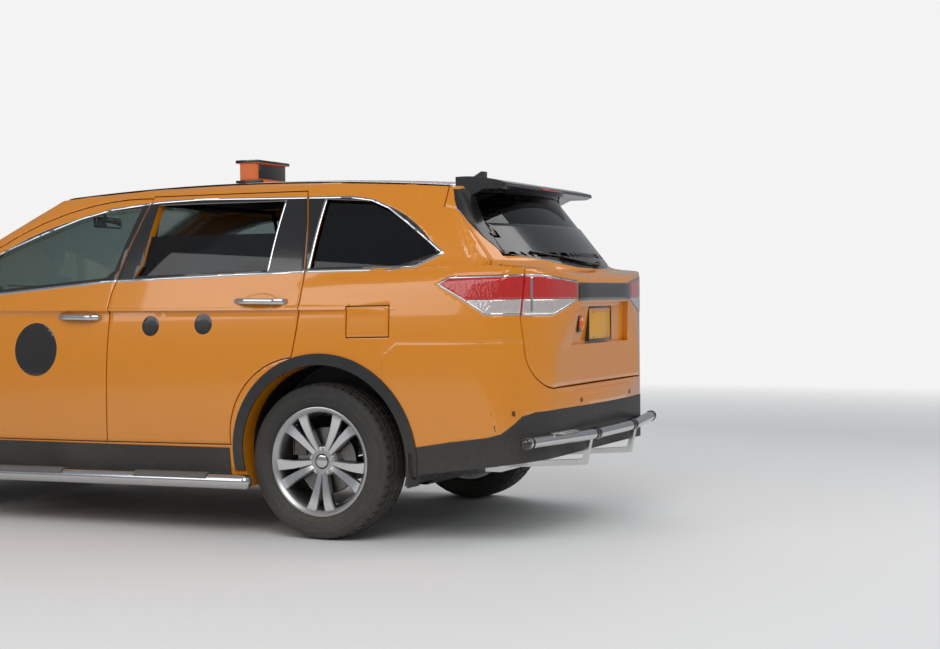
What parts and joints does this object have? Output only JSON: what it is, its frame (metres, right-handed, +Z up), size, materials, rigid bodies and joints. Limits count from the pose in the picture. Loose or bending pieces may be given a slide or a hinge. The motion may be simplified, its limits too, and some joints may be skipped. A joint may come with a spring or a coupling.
{
  "type": "taxi cab",
  "caption": "Yellow sport-utility taxi with opening doors, bonnet and tailgate, steered front wheels, roof sign, side steps and a rear guard bar.",
  "frame": {"origin": "middle of the whole length and width, on the ground under the tyres", "axes": "+X forward, +Y to the driver's left, +Z up"},
  "size_m": [4.905, 2.14, 1.8719],
  "materials": {
    "yellow_paint": "gloss taxi yellow paint",
    "underbody_paint": "black underbody coating",
    "clear_glass": "clear green-tinged glass",
    "tinted_glass": "dark privacy glass",
    "lamp_glass": "clear and red lamp lens",
    "black_plastic": "grained black plastic",
    "chrome_tube": "bright chrome plate",
    "seat_cover": "black vinyl",
    "clear_plastic": "clear polycarbonate sheet",
    "cast_metal": "cast and forged metal",
    "pipe_steel": "dull exhaust steel",
    "tyre_rubber": "black tyre rubber",
    "alloy": "silver painted and machined alloy"
  },
  "bodies": {
    "root": {"body_side_left": "yellow_paint", "body_side_right": "yellow_paint", "bulkhead": "underbody_paint", "dashboard": "black_plastic", "engine_block": "cast_metal", "exhaust": "pipe_steel", "floor_pan": "underbody_paint", "front_bumper": "yellow_paint", "front_seats": "seat_cover", "front_subframe": "cast_metal", "front_wings": "yellow_paint", "fuel_tank": "black_plastic", "grille": "black_plastic", "headlamps": "lamp_glass", "partition": "clear_plastic", "quarter_glass": "tinted_glass", "rear_axle": "cast_metal", "rear_bench": "seat_cover", "rear_bumper": "yellow_paint", "rear_guard_bar": "chrome_tube", "roof_antenna": "black_plastic", "roof_panel": "yellow_paint", "roof_sign": "black_plastic", "side_steps": "chrome_tube", "sill_cladding": "black_plastic", "tail_lamps": "lamp_glass", "wheel_arch_cladding": "black_plastic", "wheel_liners": "black_plastic", "windscreen": "clear_glass"},
    "front_door_left_body": {"front_door_left": "yellow_paint", "front_door_glass_left": "clear_glass", "door_mirror_left": "yellow_paint"},
    "front_door_right_body": {"front_door_right": "yellow_paint", "front_door_glass_right": "clear_glass", "door_mirror_right": "yellow_paint"},
    "rear_door_left_body": {"rear_door_left": "yellow_paint", "rear_door_glass_left": "tinted_glass"},
    "rear_door_right_body": {"rear_door_right": "yellow_paint", "rear_door_glass_right": "tinted_glass"},
    "tailgate_body": {"tailgate": "yellow_paint", "tailgate_glass": "tinted_glass", "tailgate_lamps": "lamp_glass", "spoiler": "black_plastic", "plate_holder": "black_plastic"},
    "bonnet_body": {"bonnet": "yellow_paint"},
    "fuel_door_body": {"fuel_door": "yellow_paint"},
    "knuckle_left": {"front_knuckle_left": "cast_metal"},
    "knuckle_right": {"front_knuckle_right": "cast_metal"},
    "road_wheel_front_left": {"tyre_front_left": "tyre_rubber", "wheel_front_left": "alloy"},
    "road_wheel_front_right": {"tyre_front_right": "tyre_rubber", "wheel_front_right": "alloy"},
    "road_wheel_rear_left": {"tyre_rear_left": "tyre_rubber", "wheel_rear_left": "alloy"},
    "road_wheel_rear_right": {"tyre_rear_right": "tyre_rubber", "wheel_rear_right": "alloy"}
  },
  "joints": [
    {"name": "front_door_left_hinge", "type": "hinge", "parent": "root", "child": "front_door_left_body", "pos_m": [0.9645, 0.94, 0.7], "axis": [0, 0, -1], "range_deg": [0, 65]},
    {"name": "front_door_right_hinge", "type": "hinge", "parent": "root", "child": "front_door_right_body", "pos_m": [0.9645, -0.94, 0.7], "axis": [0, 0, 1], "range_deg": [0, 65]},
    {"name": "rear_door_left_hinge", "type": "hinge", "parent": "root", "child": "rear_door_left_body", "pos_m": [-0.0815, 0.951, 0.7], "axis": [0, 0, -1], "range_deg": [0, 70]},
    {"name": "rear_door_right_hinge", "type": "hinge", "parent": "root", "child": "rear_door_right_body", "pos_m": [-0.0815, -0.951, 0.7], "axis": [0, 0, 1], "range_deg": [0, 70]},
    {"name": "tailgate_hinge", "type": "hinge", "parent": "root", "child": "tailgate_body", "pos_m": [-1.8005, 0, 1.691], "axis": [0, 1, 0], "range_deg": [0, 75]},
    {"name": "bonnet_hinge", "type": "hinge", "parent": "root", "child": "bonnet_body", "pos_m": [1.3025, 0, 1.11], "axis": [0, -1, 0], "range_deg": [0, 50]},
    {"name": "fuel_door_hinge", "type": "hinge", "parent": "root", "child": "fuel_door_body", "pos_m": [-1.4595, 0.907, 1.023], "axis": [0, 0.0995, -0.995], "range_deg": [0, 90]},
    {"name": "steer_left", "type": "hinge", "parent": "root", "child": "knuckle_left", "pos_m": [1.4925, 0.7775, 0.368], "axis": [0, 0, 1], "range_deg": [-35, 35]},
    {"name": "steer_right", "type": "hinge", "parent": "root", "child": "knuckle_right", "pos_m": [1.4925, -0.7775, 0.368], "axis": [0, 0, 1], "range_deg": [-35, 35]},
    {"name": "roll_front_left", "type": "hinge", "parent": "knuckle_left", "child": "road_wheel_front_left", "pos_m": [1.4925, 0.8175, 0.368], "axis": [0, 1, 0], "continuous": true},
    {"name": "roll_front_right", "type": "hinge", "parent": "knuckle_right", "child": "road_wheel_front_right", "pos_m": [1.4925, -0.8175, 0.368], "axis": [0, 1, 0], "continuous": true},
    {"name": "roll_rear_left", "type": "hinge", "parent": "root", "child": "road_wheel_rear_left", "pos_m": [-1.2975, 0.825, 0.368], "axis": [0, 1, 0], "continuous": true},
    {"name": "roll_rear_right", "type": "hinge", "parent": "root", "child": "road_wheel_rear_right", "pos_m": [-1.2975, -0.825, 0.368], "axis": [0, 1, 0], "continuous": true}
  ],
  "couplings": [
    {"joint": "steer_right", "follows": "steer_left", "ratio": 1}
  ]
}
